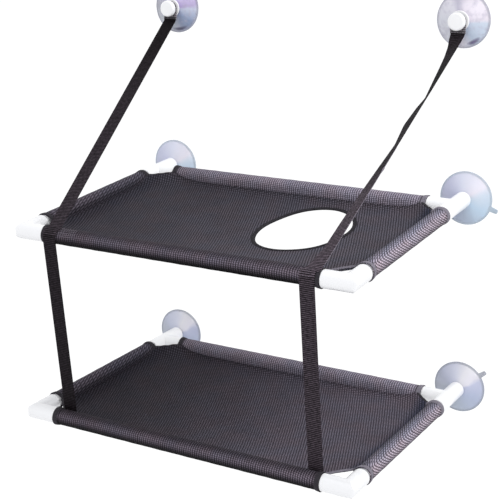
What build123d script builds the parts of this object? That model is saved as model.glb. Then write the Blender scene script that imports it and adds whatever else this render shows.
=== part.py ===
"""Two-tier perch for cats that hangs on a window pane, in millimetres.

Two rectangular frames of plastic tube carry fabric hammocks. Mitred elbows
join each frame's front corners. Tees join its back corners and reach back to
suction cups. Webbing straps run from two upper cups to the upper tier's front
tube, and on down to the lower tier's front tube.

X runs along the window to the right, +Y goes into the glass and +Z is up.
The face of the glass is y = 0. Half-way between the side tubes x = 0, and
z = 0 is the height of the upper tier's suction cups. The upper tier slopes
down a little towards the room, and the lower tier is level.
"""
from build123d import *
import math
import os

# Tiers, between tube axes
WIDTH = 550.0
DEPTH = 354.0
TIER_DROP = 320.0
GLASS_TO_BACK_TUBE = 58.0
UPPER_SLOPE = 3.3

# Tubes and their fittings
TUBE_R = 11.0
TUBE_WALL = 1.5
FITTING_R = 13.0
SOCKET_R = 11.1
CHANNEL_R = 9.5
LEG = 40.0
SOCKET_DEPTH = 26.0
CORNER_R = 7.0
MOUTH_FILLET = 0.8

# Back arm and the insert that holds a cup's ball
ARM_END_Y = -14.5
BALL_R = 8.0
BALL_TO_ARM_END = 9.0
BALL_Y = ARM_END_Y - BALL_TO_ARM_END
INSERT_LENGTH = 21.0
SEAT_CLEARANCE = 0.3
INSERT_MOUTH_R = 6.6
INSERT_THROAT_R = 5.6

# Hammocks
SLEEVE_INNER_R = 11.3
SLEEVE_OUTER_R = 12.9
SLEEVE_GAP_X = 1.5
SLEEVE_GAP_Y = 2.5
PANEL_THICKNESS = 1.2
PANEL_TOP_Z = -10.5
PANEL_INSET = 5.0
PANEL_SAG = 12.0
HEM_SAG = 0.4
CORNER_CUT_INSET = 7.0

# Oval hole through the upper hammock, with a bound edge
HOLE_X = 88.0
HOLE_Y = -192.0
HOLE_HALF_WIDTH = 70.0
HOLE_HALF_DEPTH = 96.0
BINDING_WIDTH = 3.0
BINDING_THICKNESS = 2.6
CUTTER_H = 60.0

# Suction cups
CUP_R = 43.0
CUP_RIM = 1.6
RIM_LIP = 0.4
CUP_FLAT = 3.5
DOME_H = 12.0
DOME_SHOULDER_R = 9.0
DOME_MID_R = 26.7
DOME_MID_H = 7.9
NECK_R = 4.5
HOLLOW_DEPTH = 3.4
HOLLOW_MID_R = 21.5
HOLLOW_MID_DEPTH = 2.6
TAB_LENGTH = 12.0
TAB_ROOT_W = 9.0
TAB_ROOT_OVERLAP = 3.0
TAB_TIP_W = 6.5
TAB_THICKNESS = 2.0
TAB_RIDGE_R = 1.0
TAB_RIDGE_SETBACK = 2.5
TAB_ANGLES = {
    "upper_left": 205.0,
    "upper_right": -18.0,
    "lower_left": -95.0,
    "lower_right": 37.0,
    "top_left": 75.0,
    "top_right": 100.0,
}

# Upper anchors: cup, stud, collar, strap eye and knob
TOP_X = 261.0
TOP_Z = 277.0
BOSS_R = 10.0
BOSS_H = 5.0
STUD_R = 2.5
STUD_CLEARANCE = 0.08
STUD_START_Y = -8.0
STUD_END_Y = -31.0
COLLAR_R = 15.5
COLLAR_THICKNESS = 3.0
COLLAR_NECK_R = 6.5
COLLAR_NECK_LENGTH = 6.0
KNOB_R = 13.5
KNOB_THICKNESS = 7.7
KNOB_GAP = 0.3
KNOB_FACE_FILLET = 2.6
STUD_TIP_GAP = 0.5

# Webbing straps
STRAP_W = 24.0
STRAP_T = 1.4
STRAP_CLEARANCE = 0.35
STRAP_X = 217.0
LANDING_X = {"left": -214.0, "right": 222.0}
EYE_R = 13.0
EYE_HOLE_R = 6.9
EYE_T = 3.0
EYE_SEWN_LENGTH = 18.0
STRAP_BEND_R = 4.0

# Where a lower strap's laps begin and end, in radians from the back of a tube
LAP_GAP = math.radians(14)
FOOT_END = math.radians(-34)

# Turn of an upper strap along its run, as (share of the run, degrees). The
# right one is pulled tight along its outer edge, and the rest of it droops.
FLAT_RUN = [(0.0, 0), (1.0, 0)]
DROOPING_RUN = [(0.0, 5), (0.03, 24), (0.07, 34), (0.12, 40), (0.19, 47), (0.25, 52), (0.30, 45),
                (0.38, 39), (0.46, 48), (0.55, 42), (0.68, 34), (0.80, 29), (0.90, 26), (1.0, 0)]

# Places worked out from the sizes above
FRONT_Y = -GLASS_TO_BACK_TUBE - DEPTH
BACK_Y = -GLASS_TO_BACK_TUBE
SIDE_X = WIDTH / 2
TIER_Z = {"upper": 0.0, "lower": -TIER_DROP}
TIER_SLOPE = {"upper": UPPER_SLOPE, "lower": 0.0}
SIDES = {"left": -1, "right": 1}
STRAP_WRAP_R = SLEEVE_OUTER_R + STRAP_CLEARANCE + STRAP_T / 2
BOSS_FACE_Y = -DOME_H - BOSS_H
COLLAR_FACE_Y = BOSS_FACE_Y - COLLAR_THICKNESS
COLLAR_END_Y = COLLAR_FACE_Y - COLLAR_NECK_LENGTH
KNOB_BACK_Y = COLLAR_END_Y - KNOB_GAP
EYE_Y = COLLAR_FACE_Y - COLLAR_NECK_LENGTH / 2

ALONG_X = Rot(0, 90, 0)
ALONG_Y = Rot(-90, 0, 0)


def in_tier(tier):
    """Place of a tier whose tube axes lie in z = 0, sloped about its cups' balls."""
    return Pos(0, BALL_Y, TIER_Z[tier]) * Rot(TIER_SLOPE[tier], 0, 0) * Pos(0, -BALL_Y, 0)


def front_axis(tier):
    """Y and Z of a tier's front tube axis."""
    place = in_tier(tier) * Pos(0, FRONT_Y, 0)
    return place.position.Y, place.position.Z


def rod(radius, start, end, axis):
    """Cylinder on an axis through the origin, from start to end along it."""
    shift = (start + end) / 2
    if axis == "x":
        return Pos(shift, 0, 0) * ALONG_X * Cylinder(radius, end - start)
    return Pos(0, shift, 0) * ALONG_Y * Cylinder(radius, end - start)


def tube(length, axis):
    """Open tube, centred on the origin."""
    outer = rod(TUBE_R, -length / 2, length / 2, axis)
    return outer - rod(TUBE_R - TUBE_WALL, -length / 2, length / 2, axis)


def rounded_rod(start, end, axis, round_start, round_end):
    """Fitting's outer cylinder, with its open mouths rounded."""
    body = rod(FITTING_R, start, end, axis)
    by_place = body.edges().filter_by(GeomType.CIRCLE).sort_by(Axis.X if axis == "x" else Axis.Y)
    mouths = ([by_place[0]] if round_start else []) + ([by_place[-1]] if round_end else [])
    return fillet(mouths, MOUTH_FILLET)


def mitred_bend(leg_x):
    """Leg along -X, and its mirror image along +Y, mitred at the origin."""
    size = 6 * LEG
    below_diagonal = Rot(0, 0, 45) * Pos(-size / 2, 0, 0) * Box(size, size, size)
    leg_x = leg_x & below_diagonal
    diagonal = Plane.XZ.rotated((0, 0, -45))
    return leg_x + mirror(leg_x, about=diagonal)


def elbow():
    """Front right elbow with its corner at the origin."""
    body = mitred_bend(rounded_rod(-LEG, 2 * FITTING_R, "x", True, False))
    # The outer corner of the moulding is rounded in plan.
    plan = Pos(FITTING_R - LEG, LEG - FITTING_R, 0) * Box(2 * LEG, 2 * LEG, 3 * FITTING_R)
    corner = plan.edges().filter_by(Axis.Z).sort_by(lambda e: e.center().X - e.center().Y)[-1]
    body = body & fillet(corner, CORNER_R)
    body = body - mitred_bend(rod(CHANNEL_R, -LEG - 1, 2 * CHANNEL_R, "x"))
    body = body - rod(SOCKET_R, -LEG, -LEG + SOCKET_DEPTH, "x")
    return body - rod(SOCKET_R, LEG - SOCKET_DEPTH, LEG, "y")


def tee():
    """Back right tee: run along Y, branch along -X, arm towards the glass."""
    arm = ARM_END_Y - BACK_Y
    body = rounded_rod(-LEG, arm, "y", True, True) + rounded_rod(-LEG, 0, "x", True, False)
    body = body - rod(CHANNEL_R, -LEG - 1, arm + 1, "y")
    body = body - rod(CHANNEL_R, -LEG - 1, 0, "x")
    body = body - rod(SOCKET_R, -LEG, -LEG + SOCKET_DEPTH, "x")
    body = body - rod(SOCKET_R, -LEG, -LEG + SOCKET_DEPTH, "y")
    return body - rod(SOCKET_R, arm - INSERT_LENGTH, arm, "y")


def cup_socket():
    """Insert in the arm's end, with a ball seat and a flared mouth."""
    body = rod(TUBE_R, ARM_END_Y - INSERT_LENGTH, ARM_END_Y, "y")
    body = body - Pos(0, BALL_Y, 0) * Sphere(BALL_R + SEAT_CLEARANCE)
    flare = Cone(INSERT_THROAT_R, INSERT_MOUTH_R, BALL_TO_ARM_END / 2)
    flare_y = ARM_END_Y - BALL_TO_ARM_END / 4
    body = body - Pos(0, flare_y, 0) * ALONG_Y * flare
    throat_y = BALL_Y + BALL_TO_ARM_END / 4
    return body - Pos(0, throat_y, 0) * ALONG_Y * Cylinder(INSERT_THROAT_R, BALL_TO_ARM_END / 2)


def revolved(outline):
    """Solid of revolution about Y from an outline in the XY plane."""
    return revolve(make_face(outline), Axis.Y)


def pull_tab(angle):
    """Small tab on the cup's rim, at an angle from +X, with a thick tip."""
    root_x = CUP_R - TAB_ROOT_OVERLAP
    tip_x = CUP_R + TAB_LENGTH
    outline = Polyline((root_x, -TAB_ROOT_W / 2), (tip_x, -TAB_TIP_W / 2),
                       (tip_x, TAB_TIP_W / 2), (root_x, TAB_ROOT_W / 2), close=True)
    tab = extrude(make_face(outline), TAB_THICKNESS)
    tip = [e for e in tab.edges().filter_by(Axis.Z) if e.center().X > CUP_R]
    tab = fillet(tip, TAB_TIP_W / 3)
    ridge = Rot(90, 0, 0) * Cylinder(TAB_RIDGE_R, TAB_TIP_W - 2 * TAB_RIDGE_R)
    ridge = Pos(tip_x - TAB_RIDGE_SETBACK, 0, TAB_THICKNESS) * ridge
    return Rot(0, -angle, 0) * Rot(90, 0, 0) * (tab + ridge)


def suction_cup(with_ball, tab_angle):
    """Cup pressed on the glass, with a ball on a neck or a flat boss."""
    inner_rim = CUP_R - CUP_FLAT
    dome = ThreePointArc((inner_rim, -CUP_RIM - RIM_LIP), (DOME_MID_R, -DOME_MID_H),
                         (DOME_SHOULDER_R, -DOME_H))
    hollow = ThreePointArc((0, -HOLLOW_DEPTH), (HOLLOW_MID_R, -HOLLOW_MID_DEPTH), (inner_rim, 0))
    rim = Polyline((inner_rim, 0), (CUP_R, 0), (CUP_R, -CUP_RIM), (inner_rim, -CUP_RIM - RIM_LIP))
    crown = Polyline((DOME_SHOULDER_R, -DOME_H), (0, -DOME_H), (0, -HOLLOW_DEPTH))
    body = revolved([hollow, rim, dome, crown])
    if with_ball:
        body = body + rod(NECK_R, BALL_Y, -DOME_H + 1, "y") + Pos(0, BALL_Y, 0) * Sphere(BALL_R)
    else:
        body = body + rod(BOSS_R, BOSS_FACE_Y, -DOME_H + 1, "y")
        body = body - rod(STUD_R, BOSS_FACE_Y, STUD_START_Y, "y")
    return body + pull_tab(tab_angle)


def stud():
    """Plain rod in place of the threaded stud of an upper cup."""
    return rod(STUD_R, STUD_END_Y, STUD_START_Y, "y")


def collar():
    """Disc on the cup's boss, with a neck that the strap's eye goes round."""
    body = rod(COLLAR_R, COLLAR_FACE_Y, BOSS_FACE_Y, "y")
    body = fillet(body.edges().filter_by(GeomType.CIRCLE), 0.8)
    body = body + rod(COLLAR_NECK_R, COLLAR_END_Y, COLLAR_FACE_Y, "y")
    return body - rod(STUD_R + STUD_CLEARANCE, COLLAR_END_Y, BOSS_FACE_Y, "y")


def knob():
    """Round screw-on knob, blind bored for the stud."""
    front = KNOB_BACK_Y - KNOB_THICKNESS
    body = rod(KNOB_R, front, KNOB_BACK_Y, "y")
    rims = body.edges().filter_by(GeomType.CIRCLE).sort_by(Axis.Y)
    body = fillet([rims[0]], KNOB_FACE_FILLET)
    back_rim = body.edges().filter_by(GeomType.CIRCLE).sort_by(Axis.Y)[-1]
    body = fillet([back_rim], MOUTH_FILLET)
    return body - rod(STUD_R + STUD_CLEARANCE, STUD_END_Y - STUD_TIP_GAP, KNOB_BACK_Y, "y")


def sagging_sheet(thickness):
    """Sheet over a tier's inside that hangs lowest in its middle.

    Its sections across the tier are pairs of arcs, and their drop falls off
    towards the front and back tubes.
    """
    half = SIDE_X - PANEL_INSET
    front = FRONT_Y + PANEL_INSET
    back = BACK_Y - PANEL_INSET
    top = PANEL_TOP_Z + (thickness - PANEL_THICKNESS) / 2
    bottom = top - thickness
    sections = []
    for v in (-1.0, -0.5, 0.0, 0.5, 1.0):
        drop = HEM_SAG + PANEL_SAG * (1 - v * v)
        y = (front + back) / 2 + v * (back - front) / 2
        upper = ThreePointArc((-half, y, top), (0, y, top - drop), (half, y, top))
        lower = ThreePointArc((half, y, bottom), (0, y, bottom - drop), (-half, y, bottom))
        ends = [Line((half, y, top), (half, y, bottom)), Line((-half, y, bottom), (-half, y, top))]
        sections.append(Face(Wire([upper, ends[0], lower, ends[1]])))
    return loft(sections)


def panel_outline():
    """Plan of the panel: a rectangle whose corners are cut off straight."""
    half_x = SIDE_X - PANEL_INSET
    front = FRONT_Y + PANEL_INSET
    back = BACK_Y - PANEL_INSET
    cut = LEG - PANEL_INSET + CORNER_CUT_INSET
    points = [
        (half_x - cut, front), (half_x, front + cut), (half_x, back - cut), (half_x - cut, back),
        (cut - half_x, back), (-half_x, back - cut), (-half_x, front + cut), (cut - half_x, front),
    ]
    return extrude(make_face(Polyline(*points, close=True)), CUTTER_H / 2, both=True)


def sleeve(start, end, axis):
    """Fabric tunnel round a tube."""
    return rod(SLEEVE_OUTER_R, start, end, axis) - rod(SLEEVE_INNER_R, start, end, axis)


def hole_shaft(margin):
    """Upright oval prism through the hole, larger all round by a margin."""
    oval = Ellipse(HOLE_HALF_WIDTH + margin, HOLE_HALF_DEPTH + margin)
    return Pos(HOLE_X, HOLE_Y, 0) * extrude(oval, CUTTER_H / 2, both=True)


def hammock(with_hole):
    """Panel and its four sleeves, sewn as one piece."""
    panel = sagging_sheet(PANEL_THICKNESS) & panel_outline()
    if with_hole:
        panel = panel - hole_shaft(BINDING_WIDTH)
    reach_x = SIDE_X - LEG - SLEEVE_GAP_X
    front = FRONT_Y + LEG + SLEEVE_GAP_Y
    back = BACK_Y - LEG - SLEEVE_GAP_Y
    across = sleeve(-reach_x, reach_x, "x")
    along = sleeve(front, back, "y")
    cloth = panel + Pos(0, FRONT_Y, 0) * across + Pos(0, BACK_Y, 0) * across
    return cloth + Pos(-SIDE_X, 0, 0) * along + Pos(SIDE_X, 0, 0) * along


def hole_binding():
    """Bound edge of the hole, which follows the panel's sag."""
    return sagging_sheet(BINDING_THICKNESS) & (hole_shaft(BINDING_WIDTH) - hole_shaft(0))


def webbing_section(edge, tangent, turn):
    """Cross-section of a strap, turned in degrees about its right-hand edge."""
    level = Vector(1, 0, 0) - tangent * Vector(1, 0, 0).dot(tangent)
    across = level.normalized().rotate(Axis((0, 0, 0), tangent), turn)
    flat = Plane(origin=edge - across * (STRAP_W / 2), x_dir=across, z_dir=tangent)
    return flat * Rectangle(STRAP_W, STRAP_T)


def strap_top_end(side):
    """Sewn eye of an upper strap round its collar's neck."""
    eye = Cylinder(EYE_R, EYE_T) + Pos(0, -EYE_SEWN_LENGTH / 2, 0) * Box(
        STRAP_W, EYE_SEWN_LENGTH, EYE_T)
    eye = eye - Cylinder(EYE_HOLE_R, EYE_T)
    return Pos(side * TOP_X, EYE_Y, TOP_Z) * Rot(90, 0, 0) * eye


def upper_slope():
    """Angle of an upper strap below the horizontal, in radians."""
    front_y, front_z = front_axis("upper")
    return math.atan2(TOP_Z - EYE_SEWN_LENGTH - front_z, EYE_Y - front_y)


def upper_strap(name, turns):
    """Strap from an upper knob to the upper tier's front tube.

    Its line is followed along its right-hand edge.
    """
    side = SIDES[name]
    slope = upper_slope()
    front_y, front_z = front_axis("upper")
    start = Vector(side * TOP_X + STRAP_W / 2, EYE_Y - EYE_T / 2 + STRAP_T / 2,
                   TOP_Z - EYE_SEWN_LENGTH + 2)
    end = Vector(LANDING_X[name] + STRAP_W / 2, front_y - STRAP_WRAP_R * math.sin(slope),
                 front_z + STRAP_WRAP_R * math.cos(slope))
    down = Vector(0, 0, -1)
    knee = start + down * STRAP_BEND_R
    run = (end - knee).normalized()
    first = knee + run * STRAP_BEND_R
    sections = []
    for share in (0.0, 0.25, 0.5, 0.75):
        # The bend is a quadratic curve from the eye's plane to the run.
        inner = start + (knee - start) * share
        outer = knee + (first - knee) * share
        tangent = (down * (1 - share) + run * share).normalized()
        sections.append(webbing_section(inner + (outer - inner) * share, tangent, 0))
    for share, turn in turns:
        sections.append(webbing_section(first + (end - first) * share, run, turn))
    return loft(sections, ruled=True) + strap_top_end(side)


def lower_strap(side):
    """Strap that laps the upper front sleeve, crosses and ends on the lower one.

    Its run is the inner tangent of the two laps, from the front of the upper
    sleeve to the back of the lower one.
    """
    upper = front_axis("upper")
    lower = front_axis("lower")
    apart = math.dist(upper, lower)
    lean = math.asin(2 * STRAP_WRAP_R / apart) + math.atan2(lower[0] - upper[0], upper[1] - lower[1])
    lap_start = math.pi / 2 + upper_slope() + LAP_GAP
    leave = math.pi + lean

    def on_lap(angle, axis):
        return (side * STRAP_X, axis[0] + STRAP_WRAP_R * math.cos(angle),
                axis[1] + STRAP_WRAP_R * math.sin(angle))

    top_lap = ThreePointArc(on_lap(lap_start, upper), on_lap((lap_start + leave) / 2, upper),
                            on_lap(leave, upper))
    run = Line(on_lap(leave, upper), on_lap(lean, lower))
    foot_lap = ThreePointArc(on_lap(lean, lower), on_lap((lean + FOOT_END) / 2, lower),
                             on_lap(FOOT_END, lower))
    path = Wire([top_lap, run, foot_lap])
    section = Plane(origin=path @ 0, x_dir=(1, 0, 0), z_dir=path % 0) * Rectangle(STRAP_W, STRAP_T)
    return sweep(section, path=path)


def mirrored_to(side, shape):
    """Right-hand shape, or its mirror image for the left-hand side."""
    if side > 0:
        return shape
    return mirror(shape, about=Plane.YZ)


def tier_nodes(tier):
    """All pieces of one frame, its hammock and its cups."""
    place = in_tier(tier)
    cross_length = WIDTH - 2 * (LEG - SOCKET_DEPTH)
    side_length = DEPTH - 2 * (LEG - SOCKET_DEPTH)
    nodes = {
        f"{tier}_tube_front": place * Pos(0, FRONT_Y, 0) * tube(cross_length, "x"),
        f"{tier}_tube_back": place * Pos(0, BACK_Y, 0) * tube(cross_length, "x"),
        f"{tier}_hammock": place * hammock(with_hole=tier == "upper"),
    }
    for name, side in SIDES.items():
        x = side * SIDE_X
        middle = (FRONT_Y + BACK_Y) / 2
        nodes[f"{tier}_tube_{name}"] = place * Pos(x, middle, 0) * tube(side_length, "y")
        nodes[f"{tier}_elbow_{name}"] = place * Pos(x, FRONT_Y, 0) * mirrored_to(side, elbow())
        nodes[f"{tier}_tee_{name}"] = place * Pos(x, BACK_Y, 0) * mirrored_to(side, tee())
        nodes[f"{tier}_socket_{name}"] = place * Pos(x, 0, 0) * cup_socket()
        cup = suction_cup(True, TAB_ANGLES[f"{tier}_{name}"])
        nodes[f"{tier}_cup_{name}"] = Pos(x, 0, TIER_Z[tier]) * cup
    if tier == "upper":
        nodes["upper_hole_binding"] = place * hole_binding()
    return nodes


def anchor_nodes():
    """Upper cups with their studs, collars, knobs and straps."""
    nodes = {}
    for name, side in SIDES.items():
        place = Pos(side * TOP_X, 0, TOP_Z)
        nodes[f"top_cup_{name}"] = place * suction_cup(False, TAB_ANGLES[f"top_{name}"])
        nodes[f"top_stud_{name}"] = place * stud()
        nodes[f"top_collar_{name}"] = place * collar()
        nodes[f"top_knob_{name}"] = place * knob()
        turns = DROOPING_RUN if name == "right" else FLAT_RUN
        nodes[f"upper_strap_{name}"] = upper_strap(name, turns)
        nodes[f"lower_strap_{name}"] = lower_strap(side)
    return nodes


def main():
    os.makedirs("parts", exist_ok=True)
    nodes = {**tier_nodes("upper"), **tier_nodes("lower"), **anchor_nodes()}
    for name, shape in nodes.items():
        export_step(shape, f"parts/{name}.step")
        print(name, round(shape.volume, 1))


main()
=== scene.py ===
"""Looks of the two-tier window perch for cats, in metres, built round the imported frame."""
from collections import namedtuple
from math import acos, asin, atan2, ceil, cos, exp, pi, radians, sin, sqrt

import bpy
import numpy as np
from mathutils import Matrix, Vector, geometry


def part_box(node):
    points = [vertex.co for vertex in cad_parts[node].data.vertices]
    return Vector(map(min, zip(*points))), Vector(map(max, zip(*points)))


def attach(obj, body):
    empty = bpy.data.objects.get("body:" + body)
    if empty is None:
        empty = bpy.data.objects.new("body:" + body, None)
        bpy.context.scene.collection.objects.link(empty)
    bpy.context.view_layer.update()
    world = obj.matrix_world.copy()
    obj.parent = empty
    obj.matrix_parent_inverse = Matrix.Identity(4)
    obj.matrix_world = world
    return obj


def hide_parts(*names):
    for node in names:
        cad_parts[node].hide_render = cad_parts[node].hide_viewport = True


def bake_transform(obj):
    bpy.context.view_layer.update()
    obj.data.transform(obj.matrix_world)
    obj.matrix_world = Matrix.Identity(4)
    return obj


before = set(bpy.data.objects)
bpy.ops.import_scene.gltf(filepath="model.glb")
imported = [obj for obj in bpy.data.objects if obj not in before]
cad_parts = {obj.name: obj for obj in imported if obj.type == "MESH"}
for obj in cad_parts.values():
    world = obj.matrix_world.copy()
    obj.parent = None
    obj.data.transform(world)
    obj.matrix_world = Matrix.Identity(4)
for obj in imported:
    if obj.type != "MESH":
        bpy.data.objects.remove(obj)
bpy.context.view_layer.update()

# Driving sizes of the tiers
UPPER_SLOPE = radians(3.3)
BALL_Y = -0.0235
LEG = 0.040
SLEEVE_R = 0.0129
PANEL_TOP = -0.0105
PANEL_INSET = 0.005
PANEL_SAG = 0.012
HEM_SAG = 0.0004
HOLE_CENTRE = (0.088, -0.192)
HOLE_HALF = (0.070, 0.096)
BINDING_WIDTH = 0.003

# Tier sizes read from the frame
FRONT_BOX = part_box("lower_tube_front")
BACK_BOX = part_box("lower_tube_back")
SIDE_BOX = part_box("lower_tube_right")
LOWER_Z = (FRONT_BOX[0].z + FRONT_BOX[1].z) / 2
FRONT_Y = (FRONT_BOX[0].y + FRONT_BOX[1].y) / 2
BACK_Y = (BACK_BOX[0].y + BACK_BOX[1].y) / 2
SIDE_X = (SIDE_BOX[0].x + SIDE_BOX[1].x) / 2
SIDES = {"left": -1, "right": 1}
TIERS = ("upper", "lower")

# Cloth of the hammocks
CLOTH_THICKNESS = 0.0010
SEAM_IN = 0.0128
SEAM_OVERLAP = 0.0008
PANEL_STEP = 0.0065
SIDE_RISE = 0.0075
SIDE_RISE_LENGTH = 0.011
END_RISE = 0.0070
END_RISE_LENGTH = 0.0065
CORNER_RISE = 0.0150
CORNER_RISE_LENGTH = 0.017
CORNER_NEAR = 0.0458
HIGHEST_SEAM = 0.0070
CUT_REACH = 0.0425
HEM_BOW = 0.0005
WIDE_CUT_REACH = 0.047
WIDE_HEM_BOW = 0.003
HEM_WAVE = 0.0006
SLEEVE_GAP_X = 0.0003
SLEEVE_GAP_Y = 0.0045
CUFF_LENGTH = 0.007
CUFF_FLARE = 0.0007
CUFF_WIDTH = 0.0080
CUFF_THICKNESS = 0.0009
CUFF_PROFILE = [(0.0, 0.0002), (0.06, 0.0008), (0.25, 0.0009), (0.85, 0.0007), (1.0, 0.0002)]
CUFF_OVER = 0.0004
# Painted shade in a line just inside each cuff, at its sewn groove: how much darker, how wide and how far
# in
GROOVE_PAINTED_SHADE = 0.55
GROOVE_WIDTH = 0.0016
GROOVE_IN = 0.0015
SLEEVE_STEP = 0.006
PUCKER_DEPTH = 0.00016
SLACK_DEPTH = 0.0006

# Hems, tape and stitches. Sizes are width and thickness.
HEM_SIZE = (0.0044, 0.0020)
HEM_STEP = 0.0015
HEM_TURN_IN = 0.0021
HEM_BACK = 0.0014
TAPE_SIZE = (0.0070, 0.0026)
PATH_STEP = 0.0005
STITCH_LENGTH = 0.0026
STITCH_GAP = 0.0016
STITCH_PROFILE = [(0.0, 0.35, -0.6), (0.2, 0.9, 0.35), (0.8, 0.9, 0.35), (1.0, 0.35, -0.6)]
THREAD_R = 0.00032

# Rows of stitches: how far from the seam or the hole's edge, and above the cloth
SEAM_ROW = (0.0030, 0.0002)
HOLE_ROW = (0.0032, 0.0011)

# Painted light and shade round the sleeves, as degrees and tones, and a painted fade from end to end
SLEEVE_PAINTED_LEVELS = {
    "front": ([-30, 73, 110, 130, 150, 168, 185, 205, 230, 300],
              [0.40, 0.42, 0.50, 0.78, 1.12, 0.86, 0.34, 0.08, 0.02, 0.02]),
    "back": ([-30, 10, 40, 90, 140, 200, 300], [0.80, 1.0, 1.15, 1.15, 0.90, 0.60, 0.40]),
    "left": ([-30, 10, 45, 90, 130, 200, 300], [0.45, 0.50, 0.95, 1.00, 0.60, 0.40, 0.30]),
    "right": ([-30, 40, 75, 100, 125, 150, 175, 200, 225, 300],
              [0.30, 0.34, 0.46, 0.68, 0.98, 1.16, 0.98, 0.56, 0.26, 0.22]),
}
SLEEVE_PAINTED_FADE = {"front": (0.80, 1.15), "back": (0.85, 1.35)}

# Painted light of the panels at their left and right, tints, the painted shade in the hollows beside the
# side sleeves, and random tint patches
PANEL_PAINTED_LEVELS = {"upper": (0.53, 0.87), "lower": (0.40, 1.22)}
COOL_TINT = np.array([0.91, 0.97, 1.06])
WARM_TINT = np.array([1.015, 0.985, 0.995])
HOLLOW_SHADE = np.array([0.62, 0.56, 0.44])
HOLLOW_IN = 0.008
HOLLOW_WIDTH = 0.013
COOL_PATCH = (0.965, 0.99, 1.035)
WARM_PATCH = (1.045, 0.98, 0.985)

# Weave of the cloth
RIB_SPACING = 0.0039
SIDE_RIB_SPACING = 0.0076
FRONT_RIB_SPACING = 0.0038
THREAD_SPACING = 0.0050
WIDE_THREAD_SPACING = 0.0030
RIB_LEAN = radians(22)

# Lean of the right sleeve's ribs along the tube, as degrees round it and tube radii for each radian
SIDE_RIB_LEAN = ([-30, 90, 115, 128, 140, 160, 180, 215, 250, 330],
                 [-2.1, -2.1, -1.9, -0.9, 0.7, 1.4, 1.9, 2.4, 2.4, 0.5])

# Suction cups
CUP_R = 0.043
TOP_CUP = (0.261, 0.277)

# Webbing straps
STRAP_W = 0.024
STRAP_T = 0.0014
STRAP_CLEARANCE = 0.00035
STRAP_X = 0.217
LOWER_STRAP_X = {"left": -0.2192, "right": 0.217}
LANDING_X = {"left": -0.214, "right": 0.222}
RIB_PITCH = 0.0030
RIB_DEPTH = 0.00018
WARP_PITCH = 0.0013
EYE_R = 0.0122
EYE_HOLE_R = 0.0069
EYE_SEWN_LENGTH = 0.018
EYE_LAYER_T = 0.00119
EYE_LAYERS_Y = (-0.0008, 0.0008)
EYE_STITCH_Y = -0.0017
EYE_STEP = 0.0016
EYE_BOX = [(-0.0085, -0.0090), (0.0085, -0.0090), (0.0085, -0.0165), (-0.0085, -0.0165),
           (-0.0085, -0.0090), (0.0085, -0.0165)]
STRAP_BEND_R = 0.004
LAP_START = radians(4)
LOWER_LAP_START = radians(14.6)
FOLD_START = radians(-6)
FOLD_SPAN = radians(46)
FOLD_ROWS = (0.10, 0.34, 0.62, 0.90)
FOOT_END = radians(-34)
WRAP_R = SLEEVE_R + STRAP_CLEARANCE + STRAP_T / 2
PATCH_X = (-0.204, -0.174)
FOLD_GAP = 0.0003
FOLD_STITCH_OUT = 0.0009
PATCH_OUT = (0.0003, 0.0004)

# Selvedge thread: its run as shares of the strap's, its radius, and its knot's rise and half length
SELVEDGE_RUN = (0.50, 0.97)
SELVEDGE_R = 0.00042
KNOT_SIZE = (0.0008, 0.004)

# Painted light and shade along the straps, as (share of the length, tone)
STRAP_PAINTED_LEVELS = {
    "left": [(0.0, 0.20), (0.14, 0.22), (0.38, 0.56), (1.0, 0.90)],
    "right": [(0.0, 0.54), (0.10, 0.48), (0.17, 0.08), (0.24, 0.08), (0.32, 0.40), (0.58, 0.46),
              (0.70, 1.70), (1.0, 1.75)],
    "lower left": [(0.0, 0.46), (1.0, 0.30)],
    "lower right": [(0.0, 1.10), (1.0, 1.00)],
}
# Turn of each upper strap along its run, as (share of the run, degrees)
STRAP_TURNS = {
    "left": [(0.0, 0), (1.0, 0)],
    "right": [(0.0, 5), (0.03, 24), (0.07, 34), (0.12, 40), (0.19, 47), (0.25, 53), (0.275, 49),
              (0.30, 45), (0.38, 39), (0.46, 48), (0.55, 42), (0.68, 34), (0.80, 29), (0.90, 26),
              (0.96, 14), (1.0, 0)],
}

# Camera at the photograph's viewing angle
CAMERA_PLACE = (0.9588, -1.8125, 0.4863)
CAMERA_AZIMUTH = radians(30.836)
CAMERA_ELEVATION = radians(16.544)
CAMERA_ROLL = radians(-0.888)
CAMERA_LENS = 89.87

# Floor, surroundings and lamps, as (name, place, diameter, watts)
AMBIENT = 0.94
AMBIENT_COLOUR = (0.97, 0.98, 1.0, 1)
FLOOR_GLOW = 0.78
FLOOR_SHADE = 0.30
FLOOR_HALF = 40.0
FLOOR_Z = -1.6
LAMP_TARGET = Vector((0, -0.2, -0.1))
LAMPS = [
    ("key", (1.5, 0.5, 1.5), 1.2, 16.0),
    ("front", (1.0, -2.6, 1.2), 1.8, 14.0),
]

# Names of the maps in the cloth meshes: the weave's map and the painted light and shade
CLOTH_MAP = "Cloth"
PAINTED_SHADING_MAP = "PaintedShading"

# From a tier's own space, whose tube axes lie in z = 0, to the row frame
TIER_PLACE = {
    "upper": Matrix.Translation((0, BALL_Y, 0)) @ Matrix.Rotation(UPPER_SLOPE, 4, "X")
    @ Matrix.Translation((0, -BALL_Y, 0)),
    "lower": Matrix.Translation((0, 0, LOWER_Z)),
}


def in_tier(tier, points):
    """Points of a tier's own space, moved to the row frame."""
    place = np.array(TIER_PLACE[tier])
    return np.asarray(points, float) @ place[:3, :3].T + place[:3, 3]


# Nodes of the materials

def new_material(name, **inputs):
    """Principled material with plain values on its own sockets, and its graph."""
    material = bpy.data.materials.new(name)
    material.use_nodes = True
    g = Graph(material)
    g.dress(**inputs)
    return material, g


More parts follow.
